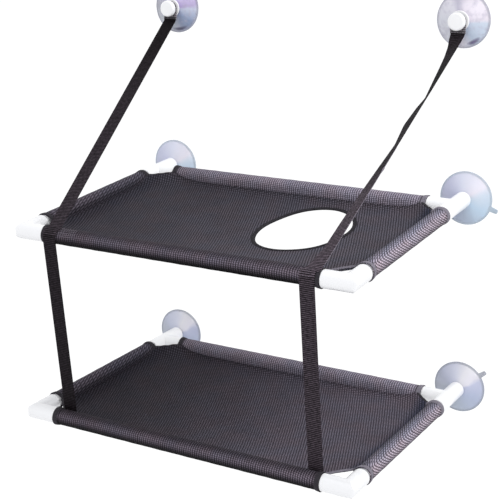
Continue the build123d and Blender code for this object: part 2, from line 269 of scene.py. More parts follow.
class Graph:
    """Short calls to add and link nodes in one material or world."""

    def __init__(self, owner):
        self.nodes = owner.node_tree.nodes
        self.links = owner.node_tree.links

    def add(self, kind, inputs=(), **settings):
        """New node with its settings, and its inputs fed by name or number."""
        node = self.nodes.new(kind)
        for key, value in settings.items():
            setattr(node, key, value)
        for key, value in dict(inputs).items():
            self.feed(node.inputs[key], value)
        return node

    def feed(self, socket, value):
        """Links an output to a socket, or sets a plain value on it."""
        if isinstance(value, bpy.types.NodeSocket):
            self.links.new(value, socket)
        else:
            socket.default_value = value

    def dress(self, **inputs):
        """Feeds inputs of the material's own shader, named with _ for a space."""
        sockets = self.nodes["Principled BSDF"].inputs
        for key, value in inputs.items():
            self.feed(sockets[key.replace("_", " ")], value)

    def math(self, operation, *values, clamp=False):
        node = self.add("ShaderNodeMath", enumerate(values), operation=operation, use_clamp=clamp)
        return node.outputs[0]

    def plus(self, a, b):
        return self.math("ADD", a, b)

    def times(self, a, b):
        return self.math("MULTIPLY", a, b)

    def scaled(self, value, factor, offset, clamp=False):
        """A value times a factor, plus an offset."""
        return self.math("MULTIPLY_ADD", value, factor, offset, clamp=clamp)

    def wave(self, coordinate, pitch):
        """0 to 1 to 0 over each pitch of a coordinate."""
        return self.math("ABSOLUTE", self.math("SINE", self.times(coordinate, pi / pitch)))

    def noise(self, vector, scale, detail=2.0, roughness=0.5):
        inputs = {"Vector": vector, "Scale": scale, "Detail": detail, "Roughness": roughness}
        return self.add("ShaderNodeTexNoise", inputs).outputs["Fac"]

    def ramp(self, value, *stops):
        """Colours over 0 to 1, given as (position, (r, g, b))."""
        node = self.add("ShaderNodeValToRGB", {"Fac": value})
        elements = node.color_ramp.elements
        while len(elements) < len(stops):
            elements.new(0.5)
        for element, (position, colour) in zip(elements, stops):
            element.position = position
            element.color = (*colour, 1)
        return node.outputs["Color"]

    def mix(self, factor, a, b):
        node = self.add("ShaderNodeMix", {"Factor": factor, "A": a, "B": b}, data_type="RGBA")
        return node.outputs["Result"]

    def product(self, a, b):
        """Two colours multiplied."""
        return self.add("ShaderNodeVectorMath", {0: a, 1: b}, operation="MULTIPLY").outputs["Vector"]

    def tone(self):
        """Painted light, shade and tints of the cloth and straps, worked out where their meshes are made.
        """
        return self.add("ShaderNodeAttribute", attribute_name=PAINTED_SHADING_MAP).outputs["Vector"]

    def bump(self, height, distance):
        inputs = {"Strength": 1.0, "Distance": distance, "Height": height}
        return self.add("ShaderNodeBump", inputs).outputs["Normal"]

    def axes(self, vector):
        """X, Y and Z of a vector."""
        return self.add("ShaderNodeSeparateXYZ", {"Vector": vector}).outputs

    def cloth_coordinates(self):
        """The piece's own map in metres: both distances at once, across and along."""
        uv = self.add("ShaderNodeUVMap", uv_map=CLOTH_MAP).outputs["UV"]
        u, v, _ = self.axes(uv)
        return uv, u, v

    def object_coordinates(self):
        return self.add("ShaderNodeTexCoord").outputs["Object"]


def mesh_fabric(name, valley, crest, glint, glint_share, ribs, threads=WIDE_THREAD_SPACING):
    """Open mesh with ribs and finer cross threads at their spacings, and painted glints on the ribs."""
    material, g = new_material(name, Roughness=0.7, Specular_IOR_Level=0.06)
    uv, u, v = g.cloth_coordinates()
    wander = g.scaled(g.noise(uv, 110.0, detail=4.0, roughness=0.7), ribs * 0.75, ribs * -0.375)
    rib = g.wave(g.plus(u, wander), ribs)
    thread = g.wave(g.scaled(g.wave(u, ribs), threads / 2, v), threads)
    height = g.times(rib, g.scaled(thread, 0.70, 0.30))
    mottled = g.scaled(g.noise(uv, 330.0, roughness=0.6), 1.1, 0.25)
    level = g.times(height, g.scaled(g.noise(uv, 16.0, detail=3.0), 0.5, mottled))
    middle = tuple((a + b) / 2.8 for a, b in zip(valley, crest))
    # painted glints: pale specks on the ribs, in place of threads catching the light
    specks = g.noise(uv, 620.0, detail=1.0, roughness=0.6)
    painted_glints = g.times(g.math("GREATER_THAN", specks, 1.0 - glint_share), rib)
    colour = g.ramp(level, (0.0, valley), (0.5, middle), (1.0, crest))
    colour = g.mix(painted_glints, colour, (*glint, 1))
    tint = g.ramp(g.noise(uv, 22.0), (0.38, COOL_PATCH), (0.62, WARM_PATCH))
    # the weave's colour times the painted light and shade of the mesh
    g.dress(Base_Color=g.product(g.product(colour, tint), g.tone()), Normal=g.bump(height, 0.0004))
    return material


def plain_weave(name, dark, light, pitch=0.0011):
    """Fine yarns of tape, hems and thread over a piece's own map."""
    material, g = new_material(name, Roughness=0.75, Specular_IOR_Level=0.12)
    uv, u, v = g.cloth_coordinates()
    yarn = g.times(g.wave(u, pitch), g.wave(v, pitch * 1.3))
    level = g.times(yarn, g.plus(g.noise(uv, 120.0, detail=4.0), 0.4))
    g.dress(Base_Color=g.ramp(level, (0.0, dark), (1.0, light)), Normal=g.bump(yarn, 0.0003))
    return material


def webbing_fabric(name, dark, light):
    """Ribbed strap: weft ribs across it and fine warp yarns along it, with painted light and shade from its
    mesh's map.
    """
    material, g = new_material(name, Roughness=0.6, Specular_IOR_Level=0.05)
    uv, u, v = g.cloth_coordinates()
    weft = g.wave(v, RIB_PITCH)
    warp = g.wave(g.scaled(weft, 0.0004, u), WARP_PITCH)
    height = g.times(weft, g.scaled(warp, 0.4, 0.6))
    worn = g.scaled(g.noise(uv, 210.0, detail=4.0, roughness=0.7), 2.4, -0.55)
    level = g.times(g.math("POWER", height, 2.5), worn)
    colour = g.ramp(level, (0.0, dark), (1.0, light))
    # the webbing's colour times the painted light and shade along the strap
    g.dress(Base_Color=g.product(colour, g.tone()), Normal=g.bump(height, 0.00035))
    return material


def moulded_plastic(name, colour, shade, roughness):
    """Glossy moulded plastic with a faint orange peel, dull scuffs and a little dust tone."""
    material, g = new_material(name, Coat_Weight=0.35, Coat_Roughness=0.12)
    place = g.object_coordinates()
    scuffs = g.noise(place, 210.0, detail=6.0, roughness=0.65)
    g.dress(Base_Color=g.mix(g.noise(place, 38.0, detail=4.0), (*shade, 1), (*colour, 1)),
            Roughness=g.scaled(scuffs, 0.16, roughness),
            Normal=g.bump(g.noise(place, 420.0), 0.00005))
    return material


def cup_vinyl(name, centre, painted_sectors, rim, patch=None):
    """Clear flexible vinyl with painted light, shade and reflections in sectors about a cup's axis, with
    flow marks and a denser rim.

    A patch near the rim is (turn, half width in turns, colour).
    """
    material, g = new_material(name, IOR=1.42, Transmission_Weight=0.25)
    place = g.object_coordinates()
    x, _, z = g.axes(place)
    x, z = g.plus(x, -centre[0]), g.plus(z, -centre[1])
    radius = g.times(g.math("SQRT", g.scaled(x, x, g.times(z, z))), 1 / CUP_R)
    swirl = g.scaled(g.noise(place, 34.0, detail=3.0), 0.10, -0.05)
    turn = g.scaled(g.math("ARCTAN2", z, x), 1 / (2 * pi), 0.5)
    # painted light, shade and reflections round the cup
    colour = g.ramp(g.plus(turn, swirl), *painted_sectors)
    if patch:
        at, wide, tint = patch
        marks = g.scaled(g.noise(place, 120.0, detail=5.0), 2.4, -1.152, clamp=True)
        colour = g.mix(marks, colour, FLOW_MARKS)
        across, out = g.scaled(turn, 1 / wide, -at / wide), g.scaled(radius, 1 / 0.09, -0.86 / 0.09)
        off = g.scaled(swirl, 6.0, g.scaled(across, across, g.times(out, out)))
        colour = g.mix(g.scaled(off, -1.0, 1.0, clamp=True), colour, (*tint, 1))
    band = g.scaled(radius, 14.0, -12.6, clamp=True)
    g.dress(Base_Color=g.mix(g.times(band, 0.7), colour, (*rim, 1)),
            Roughness=g.scaled(g.noise(place, 95.0, detail=4.0), 0.14, 0.10),
            Normal=g.bump(g.noise(place, 60.0), 0.0004))
    return material


def plated_steel(name):
    material, g = new_material(name, Metallic=1.0)
    place = g.object_coordinates()
    g.dress(Base_Color=g.mix(g.noise(place, 150.0), (0.42, 0.42, 0.44, 1), (0.62, 0.62, 0.64, 1)),
            Roughness=g.scaled(g.noise(place, 700.0), 0.2, 0.22))
    return material


PANEL_CLOTH = mesh_fabric("panel_mesh", (0.018, 0.016, 0.021), (0.160, 0.146, 0.178), (0.33, 0.295, 0.355),
                          0.20, RIB_SPACING, threads=THREAD_SPACING)
# Lit and shaded copies of the one mesh cloth for the sleeves: the right and back ones lighter, partly from
# the white tubes showing through and partly painted light from the right; the front one with darker painted
# shade and painted glints. The left sleeve keeps the panel's cloth.
RIGHT_SLEEVE_LIT_CLOTH = mesh_fabric("right_sleeve_lit_mesh", (0.020, 0.017, 0.023), (0.58, 0.525, 0.60), (0.85, 0.80, 0.86),
                         0.22, SIDE_RIB_SPACING)
BACK_SLEEVE_LIT_CLOTH = mesh_fabric("back_sleeve_lit_mesh", (0.022, 0.019, 0.026), (0.36, 0.33, 0.385), (0.55, 0.50, 0.58),
                         0.18, RIB_SPACING)
FRONT_SLEEVE_SHADED_CLOTH = mesh_fabric("front_sleeve_shaded_mesh", (0.008, 0.007, 0.009), (0.205, 0.178, 0.214),
                          (0.50, 0.44, 0.51), 0.16, FRONT_RIB_SPACING)
# Lit and shaded copies of the one hem cloth: painted light and shade for the hems and cuffs that the light
# from the right reaches or misses
LIT_HEM = plain_weave("lit_hem_fabric", (0.09, 0.082, 0.10), (0.46, 0.425, 0.50))
SHADED_HEM = plain_weave("shaded_hem_fabric", (0.010, 0.009, 0.011), (0.080, 0.072, 0.086))
BINDING_CLOTH = plain_weave("binding_tape", (0.006, 0.005, 0.007), (0.05, 0.045, 0.055))
WEBBING = webbing_fabric("strap_webbing", (0.003, 0.0024, 0.003), (0.168, 0.132, 0.164))
# lighter copy of the strap webbing for the eye tabs, painted light
LIT_EYE_WEBBING = webbing_fabric("lit_eye_webbing", (0.040, 0.036, 0.040), (0.550, 0.500, 0.550))
THREAD = plain_weave("sewing_thread", (0.16, 0.14, 0.17), (0.42, 0.38, 0.44), pitch=0.0004)
DARK_THREAD = plain_weave("dark_thread", (0.01, 0.01, 0.012), (0.07, 0.065, 0.075), pitch=0.0004)
WHITE_PLASTIC = moulded_plastic("white_fittings", (0.90, 0.90, 0.91), (0.87, 0.87, 0.885), 0.22)
# lighter copy of the white plastic, painted light to make up for the shade on the knobs, collars and tees
LIGHTENED_PLASTIC = moulded_plastic("lightened_fittings", (0.97, 0.97, 0.975), (0.945, 0.945, 0.955), 0.22)
TUBE_PLASTIC = moulded_plastic("tube_plastic", (0.86, 0.86, 0.87), (0.82, 0.82, 0.835), 0.30)

# Painted light, shade and reflections of the vinyl round each cup, by turn: 0 and 1 are left, 0.25 is down,
# 0.5 is right, 0.75 is up. The rims are darker, denser vinyl, lighter or darker from cup to cup with the
# painted light.
FLOW_MARKS = (0.56, 0.53, 0.66, 1)
UPPER_CUP_RIM = (0.52, 0.60, 0.68)
LOWER_CUP_RIM = (0.36, 0.39, 0.45)
TOP_RIM = (0.46, 0.46, 0.54)
UPPER_CUP_PAINTED_LIGHT = [(0.0, (0.58, 0.60, 0.76)), (0.25, (0.62, 0.70, 0.84)), (0.42, (0.66, 0.82, 0.98)),
                 (0.53, (0.78, 0.87, 0.99)), (0.60, (0.94, 0.91, 1.0)), (0.76, (0.84, 0.86, 0.99)),
                 (0.90, (0.68, 0.70, 0.88)), (1.0, (0.58, 0.60, 0.76))]
LOWER_CUP_PAINTED_LIGHT = [(0.0, (0.50, 0.53, 0.62)), (0.25, (0.52, 0.58, 0.69)), (0.42, (0.54, 0.60, 0.78)),
                (0.555, (0.66, 0.69, 0.87)), (0.59, (0.94, 0.92, 1.0)), (0.70, (0.96, 0.95, 1.0)),
                (0.78, (0.80, 0.82, 0.95)), (0.88, (0.66, 0.69, 0.84)), (1.0, (0.50, 0.53, 0.62))]
TOP_RIGHT_CUP_PAINTED_LIGHT = [(0.0, (0.80, 0.81, 0.88)), (0.14, (0.84, 0.85, 0.92)), (0.25, (0.93, 0.90, 0.98)),
                 (0.34, (0.64, 0.74, 0.89)), (0.48, (0.76, 0.84, 0.97)), (0.505, (0.97, 0.91, 1.0)),
                 (0.70, (0.96, 0.90, 0.99)), (0.79, (0.62, 0.60, 0.72)), (0.85, (0.86, 0.84, 0.92)),
                 (1.0, (0.80, 0.81, 0.88))]
TOP_LEFT_CUP_PAINTED_LIGHT = [(0.0, (0.46, 0.47, 0.53)), (0.12, (0.66, 0.70, 0.75)), (0.24, (0.60, 0.64, 0.74)),
               (0.33, (0.33, 0.39, 0.56)), (0.41, (0.42, 0.50, 0.70)), (0.48, (0.72, 0.77, 0.92)),
               (0.51, (0.60, 0.50, 0.80)), (0.60, (0.72, 0.62, 0.92)), (0.75, (0.80, 0.74, 0.95)),
               (1.0, (0.46, 0.47, 0.53))]
TOP_CUP_LOOK = {"left": (TOP_LEFT_CUP_PAINTED_LIGHT, (0.280, 0.075, (0.10, 0.09, 0.17))),
                "right": (TOP_RIGHT_CUP_PAINTED_LIGHT, (0.336, 0.056, (0.20, 0.17, 0.30)))}
STEEL = plated_steel("stud_steel")


# Meshes

def mesh_piece(name, made, material, painted_shades=None):
    """Object from (points, faces, corner maps). The map is in metres, one pair for each face corner.
    Painted shades, where given, are the painted light and shade at each point.
    """
    points, faces, corners = made
    data = bpy.data.meshes.new(name)
    data.from_pydata([tuple(p) for p in points], [], [tuple(f) for f in faces])
    if len(corners):
        layer = data.uv_layers.new(name=CLOTH_MAP)
        layer.uv.foreach_set("vector", np.asarray(corners, np.float32).ravel())
    if painted_shades is not None:
        painted_shades = np.asarray(painted_shades, np.float32)
        painted_shades = np.repeat(painted_shades, 3) if painted_shades.ndim == 1 else painted_shades.ravel()
        data.attributes.new(PAINTED_SHADING_MAP, "FLOAT_VECTOR", "POINT").data.foreach_set("vector", painted_shades)
    data.shade_smooth()
    data.materials.append(material)
    piece = bpy.data.objects.new(name, data)
    bpy.context.scene.collection.objects.link(piece)
    return piece


def belong(body, slot, *pieces):
    """Rides pieces on a body. The slot is not used."""
    for piece in pieces:
        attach(piece, body)


def grid(points, uvs, wrap=False, ring=False):
    """Faces and corner maps of rows of points.

    Wrapped rows close on themselves, and so does a ring of rows. The uvs have one column more than the
    points where the rows are wrapped, and one row more in a ring.
    """
    points = np.array(points)
    rows, columns = points.shape[:2]
    faces, corners = [], []
    for i in range(rows if ring else rows - 1):
        n = (i + 1) % rows
        for j in range(columns if wrap else columns - 1):
            k = (j + 1) % columns
            faces.append((i * columns + j, i * columns + k, n * columns + k, n * columns + j))
            corners += [uvs[i][j], uvs[i][j + 1], uvs[i + 1][j + 1], uvs[i + 1][j]]
    return points.reshape(-1, 3), faces, corners


def joined(parts):
    """Points, faces and corner maps of several meshes, as one."""
    points, faces, corners, start = [], [], [], 0
    for p, f, c in parts:
        points.append(np.asarray(p, float).reshape(-1, 3))
        faces += [tuple(i + start for i in face) for face in f]
        corners += list(c)
        start += len(points[-1])
    return np.concatenate(points), faces, corners


def thicken(piece, thickness, offset=-1.0):
    """Gives a sheet its thickness, on the side away from its normals."""
    modifier = piece.modifiers.new("thickness", "SOLIDIFY")
    modifier.thickness = thickness
    modifier.offset = offset
    modifier.use_even_offset = True


def facing(points, faces, corners, direction_at):
    """Turns all faces over if the first one's normal is against direction_at(its centre)."""
    face = faces[0]
    a, b, c = (np.asarray(points[i], float) for i in face[:3])
    normal = np.cross(b - a, c - b)
    if np.dot(normal, direction_at(np.mean([points[i] for i in face], axis=0))) >= 0:
        return points, faces, corners
    turned, at = [], 0
    for face in faces:
        turned += list(corners[at:at + len(face)])[::-1]
        at += len(face)
    return points, [face[::-1] for face in faces], turned


def filled_outline(outline, holes, step):
    """Even triangles inside a plan outline and outside its holes, with their 2-D points."""
    loops = [np.asarray(outline, float)] + [np.asarray(h, float) for h in holes]
    low, high = loops[0].min(0), loops[0].max(0)
    xs, ys = closer_at_ends(low[0], high[0], step), closer_at_ends(low[1], high[1], step)
    inside = [(x, y) for x in xs for y in ys if clear_of(loops, x, y, step * 0.25)]
    points = [Vector(p) for loop in loops for p in loop] + [Vector(p) for p in inside]
    edges, start = [], 0
    for loop in loops:
        edges += [(start + i, start + (i + 1) % len(loop)) for i in range(len(loop))]
        start += len(loop)
    ring = [list(range(len(loops[0])))]
    made = geometry.delaunay_2d_cdt(points, edges, ring, 1, 1e-7)
    flat = np.array([tuple(p) for p in made[0]])
    middles = [flat[list(face)].mean(0) for face in made[2]]
    return flat, [tuple(face) for face, place in zip(made[2], middles)
                  if not any(within(hole, *place) for hole in loops[1:])]


def closer_at_ends(low, high, step):
    """Stations between two ends, evenly spaced but closer near both, where cloth curves most."""
    if high - low < 12 * step:
        return np.arange(low + step / 2, high, step)
    near = step * np.array([0.32, 0.75, 1.35, 2.1])
    count = int(round((high - low - 6 * step) / step))
    return np.concatenate([low + near, np.linspace(low + 3 * step, high - 3 * step, count + 1),
                           high - near[::-1]])


def within(loop, x, y):
    """Whether a plan point is inside a closed loop."""
    a, b = loop, np.roll(loop, -1, axis=0)
    crosses = (a[:, 1] > y) != (b[:, 1] > y)
    rise = np.where(crosses, b[:, 1] - a[:, 1], 1.0)
    at = a[:, 0] + (y - a[:, 1]) * (b[:, 0] - a[:, 0]) / rise
    return int((crosses & (x < at)).sum()) % 2 == 1


def clear_of(loops, x, y, gap):
    """Whether a point is inside the first loop and outside the others, away from all their points."""
    if not within(loops[0], x, y) or any(within(h, x, y) for h in loops[1:]):
        return False
    return all(np.hypot(loop[:, 0] - x, loop[:, 1] - y).min() > gap for loop in loops)


def spread(points, step):
    """Points along straight runs, no further apart than step, without the last one."""
    out = []
    for a, b in zip(points[:-1], points[1:]):
        a, b = np.asarray(a, float), np.asarray(b, float)
        count = max(1, int(ceil(np.linalg.norm(b - a) / step)))
        out += [a + (b - a) * k / count for k in range(count)]
    return out


# Hammocks

def panel_drop(x, y):
    """How far the panel hangs below its edges, by place in the tier."""
    front, back = FRONT_Y + PANEL_INSET, BACK_Y - PANEL_INSET
    across = x / (SIDE_X - PANEL_INSET)
    along = (y - (front + back) / 2) / ((back - front) / 2)
    return (HEM_SAG + PANEL_SAG * (1 - along ** 2)) * (1 - across ** 2)


def drawn_up(x, y):
    """How far the cloth is drawn up beside the sleeves and at its cut corners."""
    to_side = SIDE_X - np.abs(x)
    to_end = np.minimum(y - FRONT_Y, BACK_Y - y)
    beside = SIDE_RISE * np.exp(-(to_side - SEAM_IN) / SIDE_RISE_LENGTH)
    ends = END_RISE * np.exp(-(to_end - SEAM_IN) / END_RISE_LENGTH)
    corner = CORNER_RISE * np.exp(-(np.hypot(to_side, to_end) - CORNER_NEAR) / CORNER_RISE_LENGTH)
    return np.minimum(beside + ends + corner, HIGHEST_SEAM - PANEL_TOP)


def panel_surface(x, y):
    """Height of the panel's upper face, with slight pull lines towards the corners."""
    front, back = FRONT_Y + SEAM_IN, BACK_Y - SEAM_IN
    to_side = np.clip((SIDE_X - SEAM_IN - np.abs(x)) / 0.06, 0, 1)
    to_end = np.clip(np.minimum(y - front, back - y) / 0.05, 0, 1)
    corner = (1 - to_side) * (1 - to_end)
    ripple = HEM_WAVE * corner * np.sin((np.abs(x) - y) * 2 * pi / 0.021)
    slack = SLACK_DEPTH * np.sin(x * 41.0 + 1.3) * np.sin(y * 53.0) * to_side * to_end
    return PANEL_TOP - panel_drop(x, y) + drawn_up(x, y) + ripple + slack


def on_panel(plan, rise=0.0):
    """Plan points lifted to the panel's upper face, or by a rise from it."""
    return np.column_stack([plan, panel_surface(*plan.T) + rise])


def eased(share):
    """0 to 1 with soft ends."""
    share = np.clip(share, 0, 1)
    return share * share * (3 - 2 * share)


def rib_courses(x, y):
    """Distances across and along the panel's ribs."""
    lean = cos(RIB_LEAN), sin(RIB_LEAN)
    return x * lean[0] + y * lean[1], y * lean[0] - x * lean[1]


def unwrapped(angle):
    """Degrees round a sleeve, from the panel over the top to the outside."""
    return np.degrees(np.where(angle < -0.5, angle + 2 * pi, angle))


def side_rib_shift(angle):
    """How far along the tube a rib of the right sleeve has moved at each angle."""
    fine = np.linspace(-30, 330, 721)
    shift = np.cumsum(np.interp(fine, *SIDE_RIB_LEAN)) * radians(fine[1] - fine[0]) * SLEEVE_R
    return np.interp(unwrapped(angle), fine, shift)


def painted_panel_light(tier, x):
    """Painted light and shade over the panel: painted shade in the hollows beside the side sleeves, painted
    light towards the right, and a warm tint on the lower tier.
    """
    side = SIDE_X - SEAM_IN - np.abs(x)
    # painted shade in the hollows beside the side sleeves, deeper on the right
    painted_hollow_shade = np.exp(-((side - HOLLOW_IN) / HOLLOW_WIDTH) ** 2) * np.where(x > 0, 1.0, 0.45)
    left, right = PANEL_PAINTED_LEVELS[tier]
    # painted light, growing towards the right
    level = left + (right - left) * eased((x + 0.24) / 0.42)
    tint = WARM_TINT if tier == "lower" else np.ones(3)
    return level[:, None] * tint * (1 - painted_hollow_shade[:, None] * HOLLOW_SHADE)


CORNERS = [(sx, sy) for sx in (-1, 1) for sy in (-1, 1)]
WIDE_CORNER = (1, -1)


def cut_edge(sx, sy):
    """Hemmed corner edge from the front or back sleeve to a side sleeve. The front right one gapes."""
    reach, bow = (WIDE_CUT_REACH, WIDE_HEM_BOW) if (sx, sy) == WIDE_CORNER else (CUT_REACH, HEM_BOW)
    end_y = FRONT_Y if sy < 0 else BACK_Y
    a = np.array([sx * (SIDE_X - reach), end_y - sy * SEAM_IN])
    b = np.array([sx * (SIDE_X - SEAM_IN), end_y - sy * reach])
    inward = np.array([-sx, -sy]) / sqrt(2)
    return [a + (b - a) * s + inward * bow * 4 * s * (1 - s) for s in np.linspace(0, 1, 13)]


def panel_outline():
    """Plan of the panel from seam to seam, corner edges included."""
    corners = [cut_edge(1, -1), cut_edge(1, 1)[::-1], cut_edge(-1, 1), cut_edge(-1, -1)[::-1]]
    loop = []
    for here, following in zip(corners, corners[1:] + corners[:1]):
        loop += here[:-1]
        loop += spread([here[-1], following[0]], PANEL_STEP)
    return loop


def hole_outline(margin, count):
    """Plan of the oval hole, larger all round by a margin."""
    return HOLE_CENTRE + (np.array(HOLE_HALF) + margin) * circle(full_turn(count))


def panel_mesh(tier):
    """Sagging middle of a hammock, in the tier's space, and its tones."""
    holes = [hole_outline(BINDING_WIDTH / 2, 96)] if tier == "upper" else []
    flat, faces = filled_outline(panel_outline(), holes, PANEL_STEP)
    x, y = flat.T
    uvs = np.column_stack(rib_courses(x, y))
    corners = [uvs[i] for face in faces for i in face]
    return facing(on_panel(flat), faces, corners, upward), painted_panel_light(tier, x)


def sleeve_section(seam):
    """Closed outline of a sleeve round its tube, with its tail drawn in to the seam.

    Pairs are (towards the panel, up), from the seam over the tube and back under it.
    """
    seam = np.array(seam)
    heading = atan2(seam[1], seam[0])
    half_gap = acos(SLEEVE_R / np.linalg.norm(seam))
    arc = SLEEVE_R * circle(np.linspace(heading + half_gap, heading - half_gap + 2 * pi, 44))
    climb = [seam + (arc[0] - seam) * k / 3 for k in range(3)]
    under = [arc[-1] + (seam - arc[-1]) * k / 3 for k in (1, 2)]
    return np.concatenate([climb, arc, under])


def sleeve_ring(side, s, proud=0.0):
    """One ring of a sleeve at a station: its points, lengths round it and angles round the tube."""
    centre = side.origin + side.direction * s
    foot = centre + side.inward * SEAM_IN
    height = float(panel_surface(foot[0], foot[1])) - CLOTH_THICKNESS / 2
    section = sleeve_section((SEAM_IN + SEAM_OVERLAP, height))
    mouth = max(0.0, 1 - (side.length / 2 - abs(s)) / (2 * CUFF_LENGTH))
    angle = np.arctan2(section[:, 1], section[:, 0])
    loose = mouth ** 2 * CUFF_FLARE * (1 + 0.35 * np.sin(3 * angle + 40 * s))
    pucker = PUCKER_DEPTH * np.sin(angle * 5 + s * 190.0) * np.sin(s * 63.0 + angle)
    section = section * (1 + (loose + pucker + proud) / SLEEVE_R)[:, None]
    points = centre + np.outer(section[:, 0], side.inward) + np.outer(section[:, 1], (0, 0, 1))
    return points, run_lengths(np.concatenate([section, section[:1]])), angle


def painted_sleeve_light(name, angle):
    """Painted light and shade round a sleeve, with the right one's tint warmer round its outer side."""
    warmth = eased((unwrapped(angle) - 105) / 45) if name == "right" else np.full(len(angle), 0.8)
    tint = COOL_TINT + (WARM_TINT - COOL_TINT) * warmth[:, None]
    return np.interp(unwrapped(angle), *SLEEVE_PAINTED_LEVELS[name])[:, None] * tint


def outward(side):
    """Direction away from a side's tube axis, at any place on its sleeve."""
    return lambda place: (place - side.origin) * (1 - np.abs(side.direction))


def sleeve_mesh(side):
    """Cloth tunnel round one tube, loose at its two mouths, and its tones."""
    half = side.length / 2
    ends = np.linspace(0, 2 * CUFF_LENGTH, 9)[:-1]
    middle = np.linspace(-half + 2 * CUFF_LENGTH, half - 2 * CUFF_LENGTH, int(side.length / SLEEVE_STEP))
    # painted fade: the front and back sleeves lighter towards their right ends
    painted_fade = SLEEVE_PAINTED_FADE.get(side.name, (1.0, 1.0))
    rows, uvs, painted_shades = [], [], []
    for s in np.concatenate([ends - half, middle, (half - ends)[::-1]]):
        points, around, angle = sleeve_ring(side, s)
        if side.name == "left":
            across = s * sin(RIB_LEAN) - around * cos(RIB_LEAN)
        else:
            shift = side_rib_shift(angle) * (side.name == "right")
            across = s - np.append(shift, shift[-1])
        # painted shade of the sewn groove inside each cuff
        groove_shade = 1 - GROOVE_PAINTED_SHADE * exp(-((half - abs(s) - CUFF_WIDTH - GROOVE_IN) / GROOVE_WIDTH) ** 2)
        rows.append(points)
        uvs.append(np.column_stack([across, around]))
        painted_shades.append(painted_sleeve_light(side.name, angle) * groove_shade * np.interp(s, (-half, half), painted_fade))
    made = grid(rows, uvs, wrap=True)
    return facing(*made, outward(side)), np.concatenate(painted_shades)


# Each tube's sleeve: its middle, the tube's direction, the way to the panel and its free length
Side = namedtuple("Side", "name origin direction inward length")
MIDDLE_Y = (FRONT_Y + BACK_Y) / 2
ALONG_X, ALONG_Y = np.array([1.0, 0, 0]), np.array([0, 1.0, 0])
SLEEVE_X = 2 * (SIDE_X - LEG - SLEEVE_GAP_X)
SLEEVE_Y = BACK_Y - FRONT_Y - 2 * (LEG + SLEEVE_GAP_Y)
TIER_SIDES = [
    Side("front", np.array([0, FRONT_Y, 0]), ALONG_X, ALONG_Y, SLEEVE_X),
    Side("back", np.array([0, BACK_Y, 0]), ALONG_X, -ALONG_Y, SLEEVE_X),
    Side("left", np.array([-SIDE_X, MIDDLE_Y, 0]), ALONG_Y, ALONG_X, SLEEVE_Y),
    Side("right", np.array([SIDE_X, MIDDLE_Y, 0]), ALONG_Y, -ALONG_X, SLEEVE_Y),
]


def ribbon_rows(centres, widths, normals, size, rib_depth=0.0, crown=0.0):
    """Rows of a flat band's outline, with round edges and ribs. Its size is a width and a thickness."""
    half, edge = size[0] / 2, size[1] / 2
    flat = np.linspace(-half + edge, half - edge, 9)
    turns = np.radians([60, 0, -60])
    outline = [(x, 1.0, 1) for x in flat]
    outline += [(half - edge + edge * cos(t), sin(t), 0) for t in turns]
    outline += [(x, -1.0, 1) for x in flat[::-1]]
    outline += [(-half + edge - edge * cos(t), sin(t), 0) for t in turns[::-1]]
    x, side, on_face = np.array(outline).T
    around = np.append(x, x[0])
    rows, uvs = [], []
    for centre, across, normal, run in zip(centres, widths, normals, run_lengths(centres)):
        rib = rib_depth * cos(2 * pi * run / RIB_PITCH)
        rise = side * (edge + on_face * (rib + crown * (1 - (x / half) ** 2)))
        rows.append(centre + np.outer(x, across) + np.outer(rise, normal))
        uvs.append(np.column_stack([around, np.full(len(around), run)]))
    return rows, uvs


def capped(rows, uvs):
    """Wrapped rows with both ends closed and their faces outward."""
    points, faces, corners = grid(rows, uvs, wrap=True)
    columns, last = len(rows[0]), len(points) - len(rows[0])
    faces += [tuple(range(columns))[::-1], tuple(range(last, last + columns))]
    corners += list(uvs[0][:columns])[::-1] + list(uvs[-1][:columns])
    middle = np.mean(rows[:2], axis=(0, 1))
    return facing(points, faces, corners, lambda centre: centre - middle)


def run_lengths(points):
    """Distance along a line at each of its points."""
    return np.concatenate([[0], np.cumsum(np.linalg.norm(np.diff(points, axis=0), axis=1))])


def full_turn(count):
    return np.linspace(0, 2 * pi, count, endpoint=False)


def circle(turns):
    """Points of the unit circle at turns in radians."""
    return np.column_stack([np.cos(turns), np.sin(turns)])


def ring_about(centre, a, b, radius, count):
    """Points round a centre, from direction a towards direction b."""
    return centre + radius * circle(full_turn(count)) @ np.array([a, b])


def resampled(points, step):
    """A polyline's points, evenly spaced."""
    points = np.asarray(points, float)
    lengths = run_lengths(points)
    count = max(2, int(round(lengths[-1] / step)) + 1)
    at = np.linspace(0, lengths[-1], count)
    return np.column_stack([np.interp(at, lengths, points[:, k]) for k in range(3)])


def unit(vectors):
    vectors = np.asarray(vectors, float)
    return vectors / np.linalg.norm(vectors, axis=-1, keepdims=True)


# Directions off the panel and off the front of a hanging strap, the same at every place
UP, TO_ROOM = (0, 0, 1.0), (0, -1.0, 0)


def upward(place):
    return UP


def roomward(place):
    return TO_ROOM


def stitches(path, normal_at):
    """Row of thread stitches along a path, as one mesh's parts."""
    path = resampled(path, PATH_STEP)
    pitch, last = STITCH_LENGTH + STITCH_GAP, len(path) - 1
    parts = []
    for k in range(int(last * PATH_STEP / pitch)):
        a = path[min(last, int(k * pitch / PATH_STEP))]
        b = path[min(last, int((k * pitch + STITCH_LENGTH) / PATH_STEP))]
        along, up = unit(b - a), unit(normal_at((a + b) / 2))
        side = np.cross(along, up)
        rows, uvs = [], []
        for share, size, lift in STITCH_PROFILE:
            centre = a + (b - a) * share + up * THREAD_R * lift
            rows.append(ring_about(centre, side, up, THREAD_R * size, 6))
            uvs.append([(0.0002 * j, share * STITCH_LENGTH) for j in range(7)])
        parts.append(capped(rows, uvs))
    return parts


